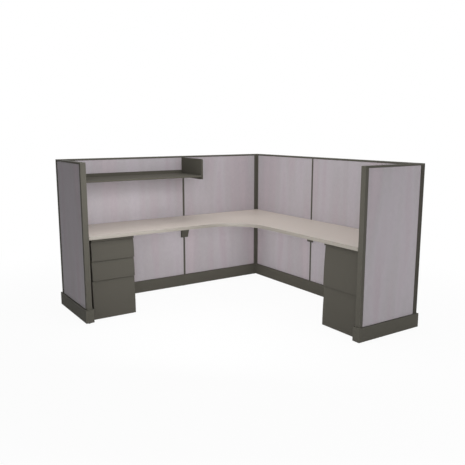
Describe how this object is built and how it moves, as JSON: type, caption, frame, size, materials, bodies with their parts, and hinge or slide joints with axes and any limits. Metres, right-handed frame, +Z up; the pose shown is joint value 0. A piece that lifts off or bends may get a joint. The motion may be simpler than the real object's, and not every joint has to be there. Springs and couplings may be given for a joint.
{
  "type": "cubicle workstation",
  "caption": "Open-plan desk booth: fabric panel walls on base raceways, an L-shaped work surface, a hanging shelf and drawer pedestals that slide open.",
  "frame": {"origin": "on the floor, at the middle of the whole footprint", "axes": "+Z up, the back wall with the shelf at +Y, the side wall at +X, the open corner towards -X and -Y"},
  "size_m": [2.249, 2.249, 1.346],
  "materials": {
    "panel_fabric": "woven panel fabric in soft grey with faint pinkish and bluish upright bands",
    "panel_core": "pressed fibre core, hidden in the panel",
    "frame_paint": "satin dark grey paint on folded steel",
    "trim_paint": "fine-textured warm dark grey powder coat",
    "bracket_paint": "satin dark grey paint on folded steel",
    "shelf_paint": "fine-textured warm dark grey powder coat",
    "pedestal_paint": "fine-textured warm dark grey powder coat",
    "laminate": "matt warm beige laminate on particle board",
    "edge_band": "matt beige edge band, a little lighter than the top",
    "tray_steel": "satin grey paint on folded sheet steel",
    "zinc": "bright zinc-plated steel",
    "glide_nylon": "black nylon"
  },
  "bodies": {
    "workstation": {"back_left_frame": "frame_paint", "back_right_frame": "frame_paint", "side_rear_frame": "frame_paint", "side_front_frame": "frame_paint", "left_wing_frame": "frame_paint", "right_wing_frame": "frame_paint", "back_left_boards": "panel_fabric", "back_right_boards": "panel_fabric", "side_rear_boards": "panel_fabric", "side_front_boards": "panel_fabric", "left_wing_boards": "panel_fabric", "right_wing_boards": "panel_fabric", "back_cores": "panel_core", "side_cores": "panel_core", "wing_cores": "panel_core", "back_top_caps": "trim_paint", "side_top_caps": "trim_paint", "wing_top_caps": "trim_paint", "back_base_covers": "trim_paint", "side_base_covers": "trim_paint", "wing_base_covers": "trim_paint", "base_corners": "trim_paint", "back_left_post": "frame_paint", "back_right_post": "frame_paint", "front_right_post": "frame_paint", "post_caps": "trim_paint", "slotted_uprights": "trim_paint", "wing_end_trims": "trim_paint", "panel_glides": "glide_nylon", "corner_work_surface": "laminate", "left_work_surface": "laminate", "right_work_surface": "laminate", "edge_bands": "edge_band", "cantilever_brackets": "bracket_paint", "corner_bracket": "bracket_paint", "wing_brackets": "bracket_paint", "splice_plates": "bracket_paint", "surface_screws": "zinc", "shelf_pan": "shelf_paint", "shelf_left_end": "shelf_paint", "shelf_right_end": "shelf_paint", "left_pedestal_case": "pedestal_paint", "right_pedestal_case": "pedestal_paint", "pedestal_glides": "glide_nylon", "case_slides": "zinc"},
    "left_top_drawer": {"left_top_tray": "tray_steel", "left_top_front": "pedestal_paint"},
    "left_top_slide_members": {"left_top_slides": "zinc"},
    "left_middle_drawer": {"left_middle_tray": "tray_steel", "left_middle_front": "pedestal_paint"},
    "left_middle_slide_members": {"left_middle_slides": "zinc"},
    "left_bottom_drawer": {"left_bottom_tray": "tray_steel", "left_bottom_front": "pedestal_paint"},
    "left_bottom_slide_members": {"left_bottom_slides": "zinc"},
    "right_top_drawer": {"right_top_tray": "tray_steel", "right_top_front": "pedestal_paint"},
    "right_top_slide_members": {"right_top_slides": "zinc"},
    "right_bottom_drawer": {"right_bottom_tray": "tray_steel", "right_bottom_front": "pedestal_paint"},
    "right_bottom_slide_members": {"right_bottom_slides": "zinc"}
  },
  "joints": [
    {"name": "left_top_drawer_slide", "type": "slide", "parent": "workstation", "child": "left_top_drawer", "axis": [0, -1, 0], "range_m": [0, 0.44]},
    {"name": "left_top_slide_members_slide", "type": "slide", "parent": "workstation", "child": "left_top_slide_members", "axis": [0, -1, 0], "range_m": [0, 0.22]},
    {"name": "left_middle_drawer_slide", "type": "slide", "parent": "workstation", "child": "left_middle_drawer", "axis": [0, -1, 0], "range_m": [0, 0.44]},
    {"name": "left_middle_slide_members_slide", "type": "slide", "parent": "workstation", "child": "left_middle_slide_members", "axis": [0, -1, 0], "range_m": [0, 0.22]},
    {"name": "left_bottom_drawer_slide", "type": "slide", "parent": "workstation", "child": "left_bottom_drawer", "axis": [0, -1, 0], "range_m": [0, 0.44]},
    {"name": "left_bottom_slide_members_slide", "type": "slide", "parent": "workstation", "child": "left_bottom_slide_members", "axis": [0, -1, 0], "range_m": [0, 0.22]},
    {"name": "right_top_drawer_slide", "type": "slide", "parent": "workstation", "child": "right_top_drawer", "axis": [-1, 0, 0], "range_m": [0, 0.44]},
    {"name": "right_top_slide_members_slide", "type": "slide", "parent": "workstation", "child": "right_top_slide_members", "axis": [-1, 0, 0], "range_m": [0, 0.22]},
    {"name": "right_bottom_drawer_slide", "type": "slide", "parent": "workstation", "child": "right_bottom_drawer", "axis": [-1, 0, 0], "range_m": [0, 0.44]},
    {"name": "right_bottom_slide_members_slide", "type": "slide", "parent": "workstation", "child": "right_bottom_slide_members", "axis": [-1, 0, 0], "range_m": [0, 0.22]}
  ],
  "couplings": [
    {"joint": "left_top_slide_members_slide", "follows": "left_top_drawer_slide", "ratio": 0.5},
    {"joint": "left_middle_slide_members_slide", "follows": "left_middle_drawer_slide", "ratio": 0.5},
    {"joint": "left_bottom_slide_members_slide", "follows": "left_bottom_drawer_slide", "ratio": 0.5},
    {"joint": "right_top_slide_members_slide", "follows": "right_top_drawer_slide", "ratio": 0.5},
    {"joint": "right_bottom_slide_members_slide", "follows": "right_bottom_drawer_slide", "ratio": 0.5}
  ]
}
